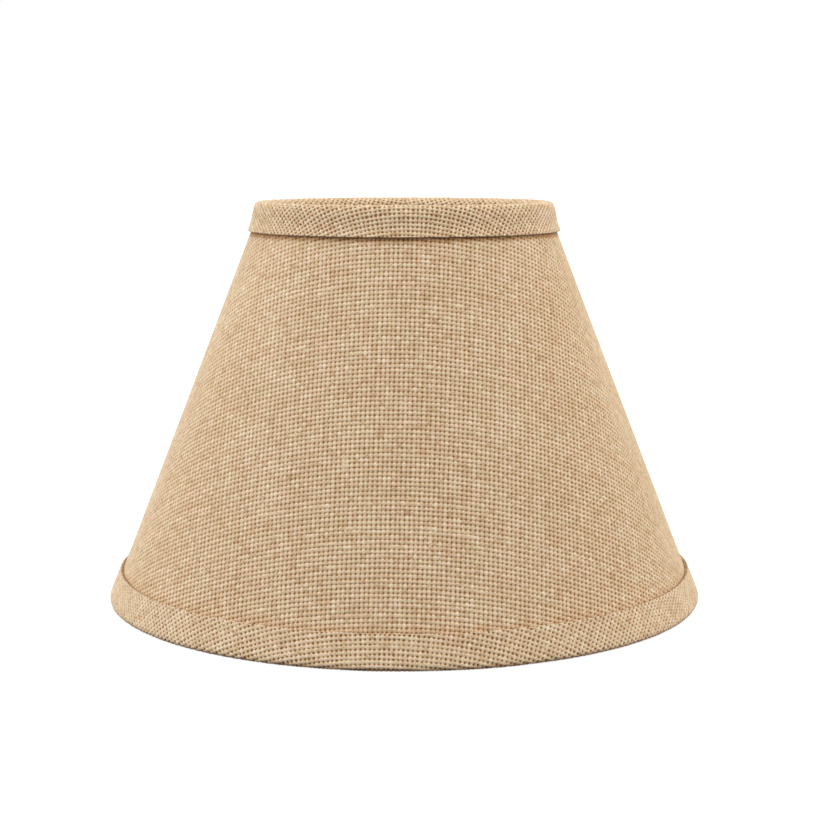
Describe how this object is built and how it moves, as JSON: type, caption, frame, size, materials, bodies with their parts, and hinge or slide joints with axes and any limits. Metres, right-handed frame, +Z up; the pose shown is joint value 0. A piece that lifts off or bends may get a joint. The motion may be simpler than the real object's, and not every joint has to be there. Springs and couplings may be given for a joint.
{
  "type": "lamp shade",
  "caption": "Round tapered lamp shade: a woven burlap cone on a stiff liner, folded bands over wire rims, and a recessed washer fitter.",
  "frame": {"origin": "centre of the circle that the bottom rim stands on", "axes": "+Z up along the shade's axis, from the bottom rim to the top rim; the seam is at +Y"},
  "size_m": [0.254, 0.254, 0.169],
  "materials": {
    "burlap": "matte",
    "burlap_band": "matte",
    "styrene": "satin",
    "wire": "satin",
    "washer": "satin",
    "weld": "satin"
  },
  "bodies": {
    "root": {"burlap_cover": "burlap", "styrene_liner": "styrene", "top_trim": "burlap_band", "bottom_trim": "burlap_band", "top_ring": "wire", "bottom_ring": "wire", "spider_arm_back": "wire", "spider_arm_left": "wire", "spider_arm_right": "wire", "spider_washer": "washer", "ring_weld_back": "weld", "ring_weld_left": "weld", "ring_weld_right": "weld", "washer_weld_back": "weld", "washer_weld_left": "weld", "washer_weld_right": "weld"}
  },
  "joints": []
}
